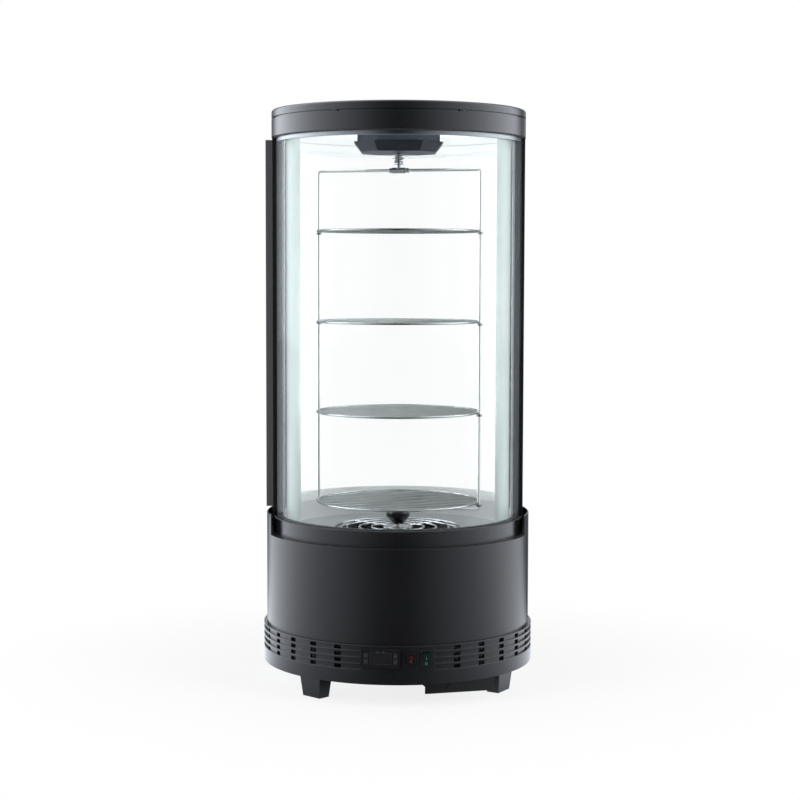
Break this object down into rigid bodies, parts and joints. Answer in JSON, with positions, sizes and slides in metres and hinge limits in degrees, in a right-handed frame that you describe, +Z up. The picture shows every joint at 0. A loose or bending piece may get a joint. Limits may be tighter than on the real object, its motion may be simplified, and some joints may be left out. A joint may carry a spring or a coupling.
{
  "type": "rotating display cabinet",
  "caption": "Round counter-top chilled bakery display cabinet with curved double glass, a curved rear door, a turning wire-shelf rack and a vented machine base.",
  "frame": {"origin": "on the counter, under the axis of the turning rack", "axes": "+Z up, -Y towards the customer's side with the controls, +X to the right seen from there"},
  "size_m": [0.471, 0.4759, 0.9935],
  "materials": {
    "black_plastic": "satin moulded",
    "black_sheet": "satin powder coat",
    "galvanised": "zinc plated",
    "stainless": "brushed",
    "bright_wire": "bright plated",
    "clear_glass": "clear tempered",
    "white_plastic": "matt",
    "light_cover": "frosted",
    "grey_rubber": "matt",
    "coil_fins": "rolled",
    "copper_tube": "drawn",
    "dark_window": "tinted",
    "red_lens": "lens",
    "green_lens": "lens"
  },
  "bodies": {
    "cabinet": {"feet": "black_plastic", "foot_screws": "galvanised", "base_plate": "galvanised", "vent_skirt": "black_plastic", "base_panel": "black_sheet", "insulated_tub": "white_plastic", "chamber_floor": "stainless", "fan_guard": "bright_wire", "pivot_pin": "bright_wire", "front_bottom_rail": "black_plastic", "rear_sill": "black_plastic", "front_glass_outer": "clear_glass", "front_glass_inner": "clear_glass", "left_pillar": "black_plastic", "right_pillar": "black_plastic", "top_band": "black_plastic", "ceiling_liner": "white_plastic", "light_tubes": "light_cover", "motor_hood": "black_plastic", "drive_motor": "galvanised", "top_lid": "black_plastic", "hinge_pins": "bright_wire", "compressor": "black_sheet", "compressor_grommets": "grey_rubber", "condenser_coil": "coil_fins", "condenser_fan_motor": "galvanised", "evaporator_coil": "coil_fins", "evaporator_fan_motor": "galvanised", "refrigerant_lines": "copper_tube", "power_inlet": "black_plastic", "thermostat_case": "black_plastic", "thermostat_display": "dark_window", "switch_frames": "black_plastic", "tray_runners": "galvanised"},
    "door": {"door_hinge_stile": "black_plastic", "door_handle_stile": "black_plastic", "door_bottom_rail": "black_plastic", "door_top_rail": "black_plastic", "door_glass_outer": "clear_glass", "door_glass_inner": "clear_glass", "door_gasket": "grey_rubber", "door_handle": "black_plastic"},
    "rack": {"rack_frame": "bright_wire", "shelf_1": "bright_wire", "shelf_2": "bright_wire", "shelf_3": "bright_wire", "shelf_4": "bright_wire", "shelf_clips": "bright_wire", "drive_shaft": "bright_wire", "coupling_spring": "bright_wire", "pivot_knob": "black_plastic"},
    "condenser_fan": {"condenser_fan": "black_plastic"},
    "evaporator_fan": {"evaporator_fan": "black_plastic"},
    "light_rocker": {"light_rocker": "red_lens"},
    "power_rocker": {"power_rocker": "green_lens"},
    "set_button": {"set_button": "black_plastic"},
    "defrost_button": {"defrost_button": "black_plastic"},
    "up_button": {"up_button": "black_plastic"},
    "down_button": {"down_button": "black_plastic"},
    "drip_tray": {"drip_tray": "black_plastic"}
  },
  "joints": [
    {"name": "door_hinge", "type": "hinge", "parent": "cabinet", "child": "door", "pos_m": [0.21166, 0.01777, 0.6225], "axis": [0, 0, -1], "range_deg": [0, 110]},
    {"name": "rack_turn", "type": "hinge", "parent": "cabinet", "child": "rack", "pos_m": [0, 0, 0.6], "axis": [0, 0, 1], "continuous": true},
    {"name": "condenser_fan_spin", "type": "hinge", "parent": "cabinet", "child": "condenser_fan", "pos_m": [0, -0.096, 0.106], "axis": [0, 1, 0], "continuous": true},
    {"name": "evaporator_fan_spin", "type": "hinge", "parent": "cabinet", "child": "evaporator_fan", "pos_m": [0, 0, 0.245], "axis": [0, 0, 1], "continuous": true},
    {"name": "light_rock", "type": "hinge", "parent": "cabinet", "child": "light_rocker", "pos_m": [0.02242, -0.23282, 0.083], "axis": [-0.9954, -0.0958, 0], "range_deg": [0, 16]},
    {"name": "power_rock", "type": "hinge", "parent": "cabinet", "child": "power_rocker", "pos_m": [0.04703, -0.22912, 0.083], "axis": [-0.9796, -0.2011, 0], "range_deg": [0, 16]},
    {"name": "set_press", "type": "slide", "parent": "cabinet", "child": "set_button", "axis": [0.1167, 0.9932, 0], "range_m": [0, 0.0008], "stiffness_N_per_m": 400},
    {"name": "defrost_press", "type": "slide", "parent": "cabinet", "child": "defrost_button", "axis": [0.1167, 0.9932, 0], "range_m": [0, 0.0008], "stiffness_N_per_m": 400},
    {"name": "up_press", "type": "slide", "parent": "cabinet", "child": "up_button", "axis": [0.1167, 0.9932, 0], "range_m": [0, 0.0008], "stiffness_N_per_m": 400},
    {"name": "down_press", "type": "slide", "parent": "cabinet", "child": "down_button", "axis": [0.1167, 0.9932, 0], "range_m": [0, 0.0008], "stiffness_N_per_m": 400},
    {"name": "tray_slide", "type": "slide", "parent": "cabinet", "child": "drip_tray", "axis": [0.2588, -0.9659, 0], "range_m": [0, 0.15]}
  ]
}
